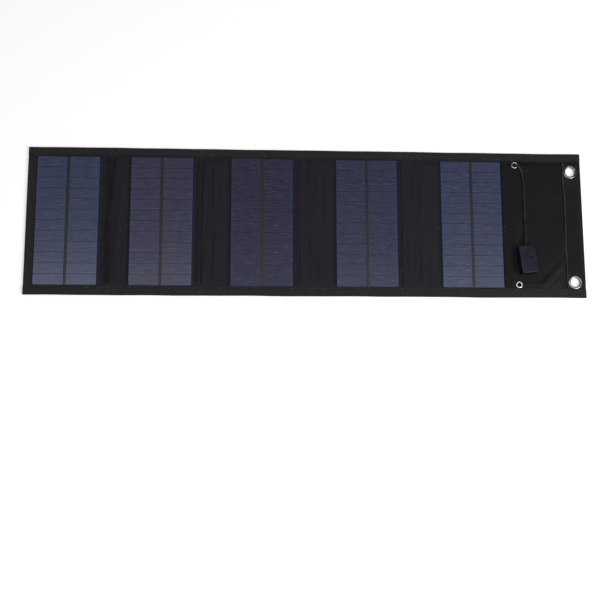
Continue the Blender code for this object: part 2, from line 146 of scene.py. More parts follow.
# ---- camera
CAMERA_PLACE = (-0.0583, -0.2375, 0.9581)
CAMERA_TURN = (9.008, -2.879, 0.340)
CAMERA_LENS = 54.0


def make_camera():
    data = bpy.data.cameras.new("camera")
    data.sensor_width = 36.0
    data.lens = CAMERA_LENS
    data.clip_start = 0.01
    camera = bpy.data.objects.new("camera", data)
    camera.rotation_mode = "ZYX"
    camera.rotation_euler = [math.radians(a) for a in CAMERA_TURN]
    camera.location = CAMERA_PLACE
    bpy.context.scene.collection.objects.link(camera)
    bpy.context.scene.camera = camera


make_camera()


# ---- small number helpers
def smooth(low, high, value):
    """0 below low, 1 above high, and a smooth step between."""
    t = np.clip((value - low) / (high - low), 0.0, 1.0)
    return t * t * (3.0 - 2.0 * t)


def bell(value, width):
    return np.exp(-((value / width) ** 2))


def ripple(x, y, wave, seed, lean=0.0, spread=math.pi):
    """A smooth uneven surface between about -1 and 1, with features about as long as wave."""
    chance = np.random.RandomState(seed)
    total = 0.0
    for _ in range(7):
        angle = lean + chance.uniform(-0.5, 0.5) * spread
        number = 2.0 * math.pi / (wave * chance.uniform(0.6, 1.7))
        phase = chance.uniform(0.0, 2.0 * math.pi)
        total = total + np.sin(number * (x * math.cos(angle) + y * math.sin(angle)) + phase)
    return total / 3.4


def grid_lines(low, high, step, dense=()):
    """Lines from low to high about step apart, closer inside each (from, to, step) of dense."""
    stops = {round(low, 4), round(high, 4)}
    for start, end, _ in dense:
        stops |= {round(s, 4) for s in (start, end) if low < s < high}
    stops = sorted(stops)
    lines = []
    for a, b in zip(stops, stops[1:]):
        near = [s for start, end, s in dense if start - 1e-3 <= (a + b) / 2 <= end + 1e-3]
        count = max(1, int(math.ceil((b - a) / min([step, *near]))))
        lines += [a + (b - a) * i / count for i in range(count)]
    return np.array(lines + [high])


# ---- node materials
class Shader:
    """A node material, built one node at a time."""

    def __init__(self, name, roughness, **settings):
        self.material = bpy.data.materials.new(name)
        self.material.use_nodes = True
        self.tree = self.material.node_tree
        self.surface = self.tree.nodes["Principled BSDF"]
        self.set("Roughness", roughness)
        for socket, value in settings.items():
            self.set(socket.replace("_", " "), value)

    def set(self, socket, value):
        """Gives the surface's socket a value or another node's output."""
        self._give(self.surface.inputs[socket], value)

    def _give(self, target, value):
        if isinstance(value, bpy.types.NodeSocket):
            self.tree.links.new(value, target)
        elif isinstance(value, tuple) and len(value) == 3 and target.type == "RGBA":
            target.default_value = (*value, 1.0)
        else:
            target.default_value = value

    def add(self, kind, values, output=0, **settings):
        """A node of that kind with values for its sockets; returns one of its outputs."""
        node = self.tree.nodes.new("ShaderNode" + kind)
        for key, value in settings.items():
            setattr(node, key, value)
        for socket, value in values.items():
            self._give(node.inputs[socket], value)
        return node.outputs[output]

    def math(self, operation, a, b=0.0):
        return self.add("Math", {0: a, 1: b}, operation=operation)

    def wave(self, value, length, kind="SINE"):
        return self.math(kind, self.math("MULTIPLY", value, 2.0 * math.pi / length))

    def mix(self, amount, a, b):
        return self.add("Mix", {0: amount, 6: a, 7: b}, output=2, data_type="RGBA")

    def uv(self):
        return self.add("UVMap", {})

    def place(self):
        return self.add("TexCoord", {}, output=3)

    def stretched(self, vector, scale):
        return self.add("Mapping", {"Vector": vector, "Scale": scale})

    def noise(self, vector, scale, detail=3.0, rough=0.5):
        values = {"Vector": vector, "Scale": scale, "Detail": detail, "Roughness": rough}
        return self.add("TexNoise", values)

    def ramp(self, value, low, high, a=0.0, b=1.0):
        return self.add("MapRange", {0: value, 1: low, 2: high, 3: a, 4: b})

    def attribute(self, name):
        return self.add("Attribute", {}, output=2, attribute_name=name)

    def bump(self, height, distance, strength=1.0, normal=None):
        values = {"Height": height, "Distance": distance, "Strength": strength}
        if normal is not None:
            values["Normal"] = normal
        return self.add("Bump", values)


WEAVE = 0.85  # two threads of the cloth
FINGER_PITCH = 2.8  # fine lines across a cell
TAPE_RIB = 1.1


def cloth_material(name, base, worn_and_sheen, shine=0.12, rough=0.6):
    """Coated plain-weave polyester: weave relief, faint slubs, tone changes and worn edges.

    One attribute lightens the cloth where it rubs, and also on the crests of the flap's wrinkles as a
    painted sheen; the shade attribute darkens it as painted shade in its creases and along the long hems'
    turned edges."""
    s = Shader(name, rough, Sheen_Weight=0.02, Sheen_Roughness=0.45, Specular_IOR_Level=shine)
    uv = s.uv()
    split = s.add("SeparateXYZ", {0: uv}).node
    across = s.wave(split.outputs[0], WEAVE)
    along = s.wave(split.outputs[1], WEAVE)
    relief = s.math("MULTIPLY", across, along)
    slub_across = s.noise(s.stretched(uv, (0.05, 1.6, 1.0)), 1.0, 4.0)
    slub_along = s.noise(s.stretched(uv, (1.6, 0.05, 1.0)), 1.0, 4.0)
    slub = s.math("ADD", slub_across, slub_along)
    patch = s.noise(uv, 0.02, 5.0)
    tone = s.ramp(s.math("ADD", s.math("MULTIPLY", slub, 0.35), patch), 0.6, 1.15)
    darker = tuple(c * 0.72 for c in base)
    colour = s.mix(tone, darker, base)
    # painted sheen: this lightening covers rubbed places, and also the crests of the flap's wrinkles,
    # where it stands in for light on the cloth
    scuff_and_sheen = s.math("MULTIPLY", s.attribute("wear_and_sheen"), s.ramp(s.noise(uv, 0.9, 5.0, 0.7), 0.35, 0.75))
    colour = s.mix(scuff_and_sheen, colour, worn_and_sheen)
    # painted shade: the shade attribute darkens the cloth in its creases and along the long hems' turned
    # edges
    s.set("Base Color", s.mix(s.attribute("shade"), colour, tuple(c * 0.2 for c in base)))
    s.set("Roughness", s.ramp(patch, 0.3, 0.7, rough - 0.08, rough + 0.1))
    weave_bump = s.bump(relief, 0.03 * MM, 0.9)
    s.set("Normal", s.bump(slub, 0.12 * MM, 0.55, weave_bump))
    return s.material


def cell_material(name, base, tint, gloss):
    """Blue-violet cells under a crinkled clear film, with fine fingers across each cell, and a painted
    reflection: bluer near the plate's long edges, most on its right.
    """
    s = Shader(name, 0.4, Specular_IOR_Level=0.25 + 0.35 * gloss, Specular_Tint=(0.56, 0.64, 0.95),
               Coat_Weight=0.75 * gloss, Coat_Roughness=0.17, Coat_IOR=1.4)
    uv = s.uv()
    split = s.add("SeparateXYZ", {0: uv}).node
    finger = s.wave(split.outputs[1], FINGER_PITCH, "COSINE")
    lines = s.ramp(finger, 0.86, 0.99)
    fine_streak = s.noise(s.stretched(uv, (0.13, 1.1, 1.0)), 1.0, 6.0, 0.62)
    long_streak = s.noise(s.stretched(uv, (0.10, 0.52, 1.0)), 1.0, 3.0, 0.55)
    streak = s.add("Mix", {0: 0.6, 2: fine_streak, 3: long_streak}, output=0)
    crinkle = s.noise(s.stretched(uv, (0.45, 1.7, 1.0)), 1.0, 5.0, 0.6)
    cloud = s.noise(uv, 0.03, 3.0)
    colour = s.mix(s.ramp(cloud, 0.35, 0.7), base, tint)
    # painted reflection: the film's blue sheen near the plate's long edges
    colour = s.mix(s.attribute("side"), colour, (0.019, 0.043, 0.125))
    fleck = tuple(c * 2.0 + 0.014 for c in base)
    colour = s.mix(s.ramp(streak, 0.53, 0.68, 0.0, 0.8), colour, fleck)
    colour = s.mix(s.ramp(streak, 0.47, 0.34, 0.0, 0.85), colour, tuple(c * 0.3 for c in base))
    colour = s.mix(s.math("MULTIPLY", lines, 0.45), colour, (0.004, 0.005, 0.010))
    s.set("Base Color", colour)
    s.set("Roughness", s.ramp(crinkle, 0.3, 0.7, 0.26, 0.42))
    rough_film = s.bump(crinkle, 0.16 * MM, 0.55)
    s.set("Normal", s.bump(streak, 0.3 * MM, 0.5, rough_film))
    return s.material


def laminate_material():
    """The dark ground of a plate, seen between its cells, with blue cut edges."""
    s = Shader("laminate_ground", 0.42, Specular_IOR_Level=0.2, Coat_Weight=0.3,
               Coat_Roughness=0.25, Coat_IOR=1.38)
    place = s.place()
    speck = s.noise(place, 900.0, 4.0)
    edge = s.attribute("edge")
    ground = s.mix(s.ramp(speck, 0.4, 0.65), (0.0085, 0.0090, 0.0110), (0.0145, 0.0155, 0.0190))
    s.set("Base Color", s.mix(edge, ground, (0.020, 0.036, 0.115)))
    s.set("Normal", s.bump(speck, 0.04 * MM, 0.5))
    return s.material


def plastic_material(name, base, roughness, grain=0.05, shine=0.3):
    """Moulded plastic with a fine grain, a faint flow tone and smoother spots."""
    s = Shader(name, roughness, Specular_IOR_Level=shine)
    place = s.place()
    fine = s.noise(place, 2600.0, 3.0)
    cloud = s.noise(place, 90.0, 4.0)
    lighter = tuple(c * 1.35 + 0.003 for c in base)
    s.set("Base Color", s.mix(s.ramp(cloud, 0.35, 0.7), base, lighter))
    s.set("Roughness", s.ramp(cloud, 0.3, 0.7, roughness - 0.07, roughness + 0.09))
    s.set("Normal", s.bump(fine, grain * MM, 0.6))
    return s.material


def metal_material(name, base, roughness):
    """Nickel plate: polished, with tiny pits and a duller tone in places."""
    s = Shader(name, roughness, Metallic=1.0)
    place = s.place()
    cloud = s.noise(place, 240.0, 5.0)
    pits = s.noise(place, 2600.0, 2.0)
    dull = tuple(c * 0.72 for c in base)
    s.set("Base Color", s.mix(s.ramp(cloud, 0.35, 0.75), base, dull))
    s.set("Roughness", s.ramp(cloud, 0.3, 0.75, roughness, roughness + 0.09))
    s.set("Normal", s.bump(pits, 0.006 * MM, 0.6))
    return s.material


def thread_material(name, base, painted_glint):
    """Twisted polyester thread; a few stitches get a painted glint, a lighter colour standing in for the
    light they catch.
    """
    s = Shader(name, 0.5, Sheen_Weight=0.03, Specular_IOR_Level=0.2)
    twist = s.noise(s.stretched(s.place(), (3500.0, 900.0, 900.0)), 1.0, 2.0)
    colour = s.mix(s.attribute("tint"), base, painted_glint)
    s.set("Base Color", s.mix(s.ramp(twist, 0.4, 0.65), tuple(c * 0.6 for c in base), colour))
    s.set("Normal", s.bump(twist, 0.05 * MM, 0.7))
    return s.material


def tape_material(name, base, lighter):
    """Woven nylon tape: ribs across it, with fuzz between."""
    s = Shader(name, 0.75, Sheen_Weight=0.04, Specular_IOR_Level=0.12)
    place = s.place()
    split = s.add("SeparateXYZ", {0: place}).node
    ribs = s.wave(split.outputs[1], TAPE_RIB * MM)
    fuzz = s.noise(place, 1500.0, 5.0, 0.7)
    s.set("Base Color", s.mix(s.ramp(fuzz, 0.35, 0.7), base, lighter))
    s.set("Normal", s.bump(s.math("ADD", ribs, s.math("MULTIPLY", fuzz, 1.5)), 0.1 * MM, 0.8))
    return s.material


def floor_material():
    s = Shader("pale_floor", 0.85, Specular_IOR_Level=0.1)
    cloud = s.noise(s.place(), 1.5, 2.0)
    s.set("Base Color", s.mix(cloud, (0.86, 0.86, 0.86), (0.9, 0.9, 0.9)))
    s.set("Emission Color", (1.0, 1.0, 1.0))
    s.set("Emission Strength", 0.25)
    return s.material


GAP_LOOK = cloth_material("black_cloth", (0.0134, 0.0128, 0.0176), (0.03, 0.03, 0.036))
FLAP_LOOK = cloth_material("black_flap_cloth", (0.0062, 0.0062, 0.0074), (0.024, 0.024, 0.026),
                            shine=0.11, rough=0.54)
BACK_LOOK = cloth_material("black_back_cloth", (0.0098, 0.0100, 0.0145), (0.028, 0.029, 0.036))
HEM_LOOK = cloth_material("black_hem_cloth", (0.0178, 0.0178, 0.0190), (0.042, 0.042, 0.044))
ROLL_LOOK = cloth_material("hem_edge_cloth", (0.029, 0.029, 0.031), (0.072, 0.072, 0.075))
THREAD_LOOK = thread_material("black_thread", (0.009, 0.009, 0.0095), (0.2, 0.18, 0.15))
GROUND_LOOK = laminate_material()
# painted shade: a darker nickel for the wall of each grommet's hole
BARREL_LOOK = metal_material("shaded_nickel", (0.16, 0.155, 0.15), 0.3)
NICKEL_LOOK = metal_material("nickel_plate", (0.46, 0.45, 0.43), 0.07)
# painted reflection: a darker copy of the nickel for the grommets' rings, standing in for the dark studio
# they reflect
RING_LOOK = metal_material("grommet_nickel_dark_reflection", (0.21, 0.205, 0.20), 0.08)
CASE_LOOK = plastic_material("case_plastic", (0.0050, 0.0061, 0.0125), 0.27, shine=0.14)
CABLE_LOOK = plastic_material("cable_jacket", (0.011, 0.011, 0.012), 0.3, 0.03)
BOARD_LOOK = plastic_material("plate_board", (0.04, 0.05, 0.052), 0.55)
CIRCUIT_LOOK = plastic_material("circuit_mask", (0.012, 0.1, 0.04), 0.4)
TONGUE_LOOK = plastic_material("socket_white", (0.7, 0.7, 0.68), 0.45, 0.03)
LAMP_LOOK = plastic_material("lamp_lens", (0.0006, 0.0006, 0.0008), 0.5, 0.01, shine=0.02)
COPPER_LOOK = metal_material("tinned_copper", (0.7, 0.62, 0.52), 0.3)
HOOK_LOOK = tape_material("hook_tape", (0.0066, 0.0066, 0.0072), (0.0155, 0.0155, 0.0165))
LOOP_LOOK = tape_material("loop_tape", (0.0045, 0.0045, 0.005), (0.011, 0.011, 0.012))


# ---- mesh helpers
def fix_to(piece, body, slot, *nodes):
    """Puts a piece on a body, in place of the CAD nodes named. The slot argument is not used."""
    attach(piece, body)
    if nodes:
        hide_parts(*nodes)


def make_object(name, points, faces, material, shade_smooth=True, uvs=None, normals=None, values=None):
    """A mesh object from points in millimetres, with optional UVs, normals and point values."""
    mesh = bpy.data.meshes.new(name)
    mesh.from_pydata([tuple(p) for p in np.asarray(points) * MM], [], faces)
    mesh.materials.append(material)
    mesh.polygons.foreach_set("use_smooth", [shade_smooth] * len(mesh.polygons))
    if uvs is not None:
        layer = mesh.uv_layers.new(name="UVMap")
        corner = np.empty(len(mesh.loops), dtype=np.int32)
        mesh.loops.foreach_get("vertex_index", corner)
        layer.data.foreach_set("uv", np.asarray(uvs, dtype=np.float32)[corner].ravel())
    for key, value in (values or {}).items():
        layer = mesh.attributes.new(key, "FLOAT", "POINT")
        layer.data.foreach_set("value", np.asarray(value, dtype=np.float32))
    mesh.update()
    if normals is not None:
        mesh.normals_split_custom_set_from_vertices([tuple(n) for n in normals])
    thing = bpy.data.objects.new(name, mesh)
    bpy.context.scene.collection.objects.link(thing)
    return thing


def grid_faces(numbers):
    """The four-cornered faces between the points of a grid, from their numbers."""
    corners = (numbers[:-1, :-1], numbers[1:, :-1], numbers[1:, 1:], numbers[:-1, 1:])
    return np.stack(corners, -1).reshape(-1, 4)


def tube_faces(rings, sides):
    """The faces of a closed tube: its wall, then the cap at each end."""
    faces = []
    for ring in range(rings - 1):
        for i in range(sides):
            j = (i + 1) % sides
            a, b = ring * sides, (ring + 1) * sides
            faces.append((a + i, b + i, b + j, a + j))
    last = (rings - 1) * sides
    return [*faces, tuple(range(sides)), tuple(last + i for i in reversed(range(sides)))]


def surface_normals(surface, u, v):
    """Unit normals of a surface function, from its slopes."""
    h = 0.02
    du = np.stack(surface(u + h, v), -1) - np.stack(surface(u - h, v), -1)
    dv = np.stack(surface(u, v + h), -1) - np.stack(surface(u, v - h), -1)
    normal = np.cross(du, dv)
    return normal / np.maximum(np.linalg.norm(normal, axis=-1, keepdims=True), 1e-12)


def sheet_object(name, us, vs, surface, material, keep, wear_and_sheen, shade, hem_material=None, on_hem=None):
    """A closed sheet, CLOTH thick, over the grid us by vs, with only the squares that keep picks.

    The squares that on_hem picks get the hem's material. Returns the object and its flat area
    in square millimetres."""
    u, v = np.meshgrid(us, vs, indexing="ij")
    centre = np.stack(surface(u, v), -1)
    normal = surface_normals(surface, u, v)
    middle_u = (u[:-1, :-1] + u[1:, 1:]) / 2
    middle_v = (v[:-1, :-1] + v[1:, 1:]) / 2
    kept = keep(middle_u, middle_v)
    count = u.size
    corners = grid_faces(np.arange(count).reshape(u.shape)).reshape(*kept.shape, 4)
    upper = corners[kept]
    lower = upper[:, ::-1] + count
    faces = [upper, lower]
    padded = np.pad(kept, 1)
    for (du, dv), first, second in (((-1, 0), 0, 3), ((1, 0), 2, 1), ((0, -1), 1, 0), ((0, 1), 3, 2)):
        beyond = padded[1 + du:padded.shape[0] - 1 + du, 1 + dv:padded.shape[1] - 1 + dv]
        rim = kept & ~beyond
        a = corners[rim, first]
        b = corners[rim, second]
        faces.append(np.stack([a, b, b + count, a + count], -1))
    faces = np.concatenate(faces)
    normals = np.concatenate([normal.reshape(-1, 3), -normal.reshape(-1, 3)])
    points = np.tile(centre.reshape(-1, 3), (2, 1)) + normals * CLOTH / 2
    uvs = np.tile(np.stack([u.ravel(), v.ravel()], -1), (2, 1))
    worn_and_sheen = np.tile(wear_and_sheen(u, v).ravel(), 2)
    shaded = np.tile(shade(u, v).ravel(), 2)
    used = np.unique(faces)
    renumber = np.full(count * 2, -1)
    renumber[used] = np.arange(used.size)
    squares = (us[1:, None] - us[:-1, None]) * (vs[None, 1:] - vs[None, :-1])
    thing = make_object(name, points[used], renumber[faces].tolist(), material,
                        uvs=uvs[used], normals=normals[used],
                        values={"wear_and_sheen": worn_and_sheen[used], "shade": shaded[used]})
    if on_hem is not None:
        material_index = np.zeros(len(faces), np.int32)
        material_index[:2 * len(upper)] = np.tile(on_hem(middle_u, middle_v)[kept], 2)
        thing.data.materials.append(hem_material)
        thing.data.polygons.foreach_set("material_index", material_index)
    return thing, float(squares[kept].sum())


def tube_template(path, radius, sides):
    """Points and faces of a small closed tube along a path that lies in the XZ plane."""
    path = np.asarray(path, float)
    along = np.gradient(path, axis=0)
    along /= np.linalg.norm(along, axis=1, keepdims=True)
    points = []
    for place, way in zip(path, along):
        up = np.array([-way[2], 0.0, way[0]])
        for i in range(sides):
            a = 2.0 * math.pi * i / sides
            points.append(place + radius * (math.cos(a) * up + math.sin(a) * np.array([0.0, 1.0, 0.0])))
    return np.array(points), tube_faces(len(path), sides)


def stamp(name, template, frames, material, values=None):
    """One mesh with a copy of the template at each (place, x way, y way, z way) of frames."""
    points, faces = template
    frames = np.asarray(frames, float)
    placed = np.einsum("pi,nij->npj", points, frames[:, 1:, :]) + frames[:, None, 0, :]
    step = len(points)
    all_faces = []
    for i in range(len(frames)):
        all_faces += [tuple(v + i * step for v in face) for face in faces]
    spread = {k: np.repeat(np.asarray(v, float), step) for k, v in (values or {}).items()}
    return make_object(name, placed.reshape(-1, 3), all_faces, material, values=spread)


def lathe(name, profile, centre, material, sides=64, inside=None):
    """A ring turned from a closed profile of (radius, height) points, round a vertical axis.

    The wall of its hole, the profile's first span, takes the inside material if there is one."""
    points = []
    for i in range(sides):
        a = 2.0 * math.pi * i / sides
        points += [(centre[0] + r * math.cos(a), centre[1] + r * math.sin(a), z) for r, z in profile]
    count = len(profile)
    faces = []
    for i in range(sides):
        a, b = i * count, (i + 1) % sides * count
        for k in range(count):
            m = (k + 1) % count
            faces.append((a + k, a + m, b + m, b + k))
    ring = make_object(name, points, faces, material)
    if inside is not None:
        ring.data.materials.append(inside)
        for i in range(sides):
            ring.data.polygons[i * count].material_index = 1
    return ring


# ---- the shapes of the cloths
def end_rise(v):
    """Height of the end hems' upper layer, which sinks where the long hems cover it."""
    return END_RISE + (END_RISE_CORNER - END_RISE) * smooth(67.0, 72.5, np.abs(v))


def crease_marks(x, width):
    """Bells along the creases: deeper on each gap's left, faint beside the flap."""
    depth = (1.35, 0.75, 1.3, 0.7, 1.2, 0.7, 1.1, 0.7, 0.3, 0.25)
    return sum(d * bell(x - c, width) for d, c in zip(depth, CREASES))


def crease_shade(x, y):
    """How dark the creases' insides are painted, as painted shade: most in the first gap, beside the
    first plate.
    """
    depth = (0.9, 0.25, 0.4, 0.15, 0.3, 0.15, 0.35, 0.2, 0.1, 0.1)
    uneven = 0.75 + 0.25 * ripple(x, y, 34.0, 27, lean=math.pi / 2, spread=0.6)
    inner = 1.0 - smooth(66.0, 72.0, np.abs(y))
    return inner * uneven * sum(d * bell(x - c + 1.5, 3.2) for d, c in zip(depth, CREASES))


def back_relief(x, y):
    """Soft unevenness of the back cloth, with creases where it folds."""
    quiet = 0.16 * ripple(x, y, 70.0, 3) + 0.1 * ripple(x, y, 24.0, 4, lean=0.3, spread=1.4)
    marks = 0.42 * crease_marks(x, 1.6) - 0.22 * crease_marks(x, 5.0)
    end = smooth(215.0, 250.0, x)
    wrinkles = 0.3 * ripple(x, y, 26.0, 5, lean=0.8, spread=1.0) * end
    return np.clip(quiet + marks * (0.75 + 0.25 * ripple(x, y, 50.0, 6)) + wrinkles, -0.55, 0.32)


def hem_relief(x, y):
    """Puckers of the folded hems between their stitches."""
    return 0.1 * ripple(x, y, 13.0, 8, lean=0.0, spread=0.8) + 0.1 * ripple(x, y, 45.0, 9)


def turn_over(distance, edge, radius):
    """Angle reached in the turn past an edge, and the length of cloth beyond the turn."""
    past = np.maximum(distance - edge, 0.0)
    return np.minimum(past / radius, math.pi), np.maximum(past - math.pi * radius, 0.0)


def folded_sheet(u, v):
    """The back cloth with its hems: u runs along the strip and v across it, on the flat cut."""
    radius = end_rise(v) / 2
    edge = HALF_LENGTH - CLOTH / 2 - radius
    angle, inward = turn_over(np.abs(u), edge, radius)
    x = np.sign(u) * (np.minimum(np.abs(u), edge) + radius * np.sin(angle) - inward)
    offset = radius * (1.0 - np.cos(angle))
    on_hem = smooth(0.0, 1.5, inward)
    between_hems = 1.0 - smooth(66.0, 71.0, np.abs(v))
    lip = on_hem * smooth(-1.0, 1.0, u) * bell(x - HEM_RIGHT, 1.5) * between_hems
    offset = offset + 0.75 * lip + on_hem * hem_relief(v, x) * 0.8

    over = np.sign(v)
    edge = LONG_FOLD + 0.22 * ripple(u, over * 40.0, 90.0, 12)
    angle, inward = turn_over(np.abs(v), edge, TURN)
    y = over * (np.minimum(np.abs(v), edge) + (TURN - offset) * np.sin(angle) - inward)
    z = BACK_Z + TURN - (TURN - offset) * np.cos(angle)
    on_band = smooth(0.0, 1.5, inward)
    seam = np.where(over > 0, BAND_TOP + HEM_SEAM, BAND_BOTTOM - HEM_SEAM)
    z = z + on_band * (hem_relief(x, y) - 0.16 * bell(y - seam, 0.9))
    flat = 1.0 - smooth(HALF_LENGTH - 10.0, HALF_LENGTH - 2.0, np.abs(u))
    flat = flat * (1.0 - smooth(HALF_WIDTH - 8.0, HALF_WIDTH - 2.0, np.abs(v)))
    return x, y, z + flat * back_relief(x, y)


def plate_distance(x, y):
    """Distance outside the nearest plate, and distance past its long sides only."""
    near = np.full(np.shape(x), 1e3)
    beside = np.full(np.shape(x), 1e3)
    for low, high in PLATES:
        dx = np.maximum(np.maximum(low[0] - x, x - high[0]), 0.0)
        dy = np.maximum(np.maximum(low[1] - y, y - high[1]), 0.0)
        near = np.minimum(near, np.hypot(dx, dy))
        beside = np.minimum(beside, np.where(dy > 0, 1e3, dx))
    return near, beside


def gather(x):
    """How strongly the front cloth is gathered: most in the first gap, least on the flap."""
    return np.interp(x, (-205.0, -110.0, 0.0, 115.0, 235.0), (1.3, 0.45, 0.7, 0.7, 0.25))


def flap_wrinkle(x, y):
    """The slanting wrinkles at the flap's lower right corner, about -1 to 1."""
    across = ((x - 268.0) + (y + 58.0) * -0.9) / 1.35
    along = ((x - 268.0) * 0.9 + (y + 58.0)) / 1.35
    bands = bell(across - 1.0, 3.4) - 0.7 * bell(across + 6.0, 3.0) + 0.6 * bell(across - 10.0, 4.0)
    return bands * bell(along, 17.0)


def front_height(x, y):
    """Height of the middle of the front cloth's thickness."""
    near, beside = plate_distance(x, y)
    open_cloth = 1.0 - smooth(66.0, 71.5, np.abs(y))
    slack = smooth(4.0, 13.0, near) * open_cloth
    folds = 0.85 * ripple(x, y, 12.0, 21, lean=0.0, spread=0.25) + 0.35 * ripple(x, y, 60.0, 22)
    marks = 0.95 * crease_marks(x, 1.5) - 0.85 * crease_marks(x, 4.2)
    height = FRONT_Z + slack * (0.55 + 0.75 * folds * gather(x))
    uneven = 0.75 + 0.25 * ripple(x, y, 40.0, 23)
    height = height - marks * uneven * open_cloth * smooth(1.0, 6.0, near)
    height = height + 0.8 * bell(near, 1.3) * open_cloth - 0.32 * bell(beside - STITCH_OUT, 0.9)
    flap = smooth(CREASES[8] - 4.0, CREASES[8] + 12.0, x) * open_cloth
    height = height + flap * (0.45 * ripple(x, y, 42.0, 24) + 0.3)
    height = height + 0.8 * flap_wrinkle(x, y) * flap
    ends = smooth(HEM_RIGHT - 2.5, HEM_RIGHT + 0.5, x) + 1.0 - smooth(HEM_LEFT - 0.6, HEM_LEFT + 0.4, x)
    height = np.clip(height, *FRONT_LIMITS)
    return height + (np.minimum(height, 1.35) - height) * np.clip(ends, 0.0, 1.0)


def front_sheet(u, v):
    return u, v, front_height(u, v)


# ---- cloths, cut at the middles of the bodies
def segment_ends(left, right):
    """Where each of the ten cloth pieces starts and ends: at the middles of spines and plates."""
    middles = [(a + b) / 2 for a, b in zip(CREASES, CREASES[1:])]
    for k in range(2, 6):
        middles[2 * k - 3] = middle_xy(f"backboard_{k}")[0]
    stops = [left, *middles, right]
    return list(zip(stops, stops[1:]))


CREASE_GRID = [(c - 5.0, c + 5.0, 0.8) for c in CREASES]


def bend_at_crease(piece):
    """Bakes a piece's placement into its mesh."""
    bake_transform(piece)


def clear_of_holes(x, y, places, radius):
    clear = np.ones(np.shape(x), bool)
    for cx, cy in places:
        clear &= np.hypot(x - cx, y - cy) > radius
    return clear


def declare_cloth(piece, i, side):
    """Bakes cloth piece i's placement into its mesh, and hides the CAD cloth nodes of its two bodies."""
    bend_at_crease(piece)
    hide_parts(f"{BODIES[i]}_{side}_cloth", f"{BODIES[i + 1]}_{side}_cloth")


def make_back_cloths():
    """The back cloth with its hems, in ten pieces."""
    left = -(2.0 * END_FOLD + END_TURN + HEM_LEFT)
    right = 2.0 * END_FOLD + END_TURN - HEM_RIGHT
    top = 2.0 * LONG_FOLD + LONG_TURN - BAND_TOP
    bottom = -(2.0 * LONG_FOLD + LONG_TURN + BAND_BOTTOM)
    turned = LONG_FOLD + LONG_TURN
    dense_v = [(LONG_FOLD - 0.5, turned + 0.5, 0.42), (turned, top, 1.0)]
    dense_v += [(-turned - 0.5, -LONG_FOLD + 0.5, 0.42), (bottom, -turned, 1.0)]
    dense_v += [(y - 8.5, y + 8.5, 1.2) for _, y in GROMMETS]
    dense_u = CREASE_GRID + [(END_FOLD - 0.5, END_FOLD + 3.0, 0.42)]
    dense_u += [(-END_FOLD - 3.0, -END_FOLD + 0.5, 0.42)]
    dense_u += [(END_FOLD + 3.0, right, 1.2), (END_FOLD - 21.0, END_FOLD, 1.2)]
    vs = grid_lines(bottom, top, 3.2, dense_v)

    def keep(u, v):
        x, y, _ = folded_sheet(u, v)
        return clear_of_holes(x, y, GROMMETS, GROMMET_CUT)

    def wear_and_sheen(u, v):
        return np.clip(0.5 * bell(np.abs(u) - END_SIDE, 1.6) + 0.35 * crease_marks(u, 1.4), 0.0, 1.0)

    def shade(u, v):
        # painted shade along the long hems' turned outer edges
        return 0.85 * bell(np.abs(v) - LONG_SIDE, 1.1)

    def on_hem(u, v):
        return (np.abs(v) > LONG_SIDE) | (u < -END_SIDE)

    for i, (start, end) in enumerate(segment_ends(left, right)):
        us = grid_lines(start, end, 3.0, dense_u)
        piece, area = sheet_object(f"back_cloth_{i + 1}", us, vs, folded_sheet, BACK_LOOK, keep, wear_and_sheen,
                                   shade, HEM_LOOK, on_hem)
        declare_cloth(piece, i, "back")


def make_front_cloths():
    """The front cloth with a window for each plate, in ten pieces."""
    reach = HALF_WIDTH - FRONT_MARGIN
    margin = np.array((WINDOW_MARGIN, WINDOW_MARGIN, 0.0))
    windows = [(low - margin, high + margin) for low, high in PLATES]
    dense_u = list(CREASE_GRID)
    for low, high in windows:
        dense_u += [(low[0] - 6.0, low[0], 0.7), (high[0], high[0] + 6.0, 0.7)]
    dense_u += [(EYELETS[0][0] - 4.5, EYELETS[0][0] + 4.5, 0.8)]
    dense_u += [(HEM_RIGHT - 4.0, HEM_RIGHT + 2.0, 1.0), (245.0, 282.0, 1.6)]
    dense_v = [(66.0, windows[0][1][1], 0.9), (windows[0][0][1], -66.0, 0.9), (-76.0, -40.0, 1.8)]
    vs = grid_lines(-reach, reach, 2.6, dense_v)

    def keep(u, v):
        inside = np.zeros(np.shape(u), bool)
        for low, high in windows:
            inside |= (u > low[0]) & (u < high[0]) & (v > low[1]) & (v < high[1])
        clear = clear_of_holes(u, v, EYELETS, EYELET_CUT) & clear_of_holes(u, v, GROMMETS, GROMMET_CUT)
        return ~inside & clear

    def wear_and_sheen(u, v):
        # lighter where the creases rub, and a painted sheen on the crests of the flap's wrinkles
        return np.clip(0.12 * crease_marks(u, 1.2) + 1.6 * flap_wrinkle(u, v), 0.0, 1.0)

    end_x = HALF_LENGTH - FRONT_END
    for i, (start, end) in enumerate(segment_ends(-end_x, end_x)):
        us = grid_lines(start, end, 2.2, dense_u)
        look = GAP_LOOK if i < 8 else FLAP_LOOK
        piece, area = sheet_object(f"front_cloth_{i + 1}", us, vs, front_sheet, look, keep, wear_and_sheen,
                                   crease_shade)
        declare_cloth(piece, i, "front")


make_back_cloths()
make_front_cloths()


ROLL_Z = 2.25
ROLL_RADIUS = 0.72
ROLL_SIDES = 10


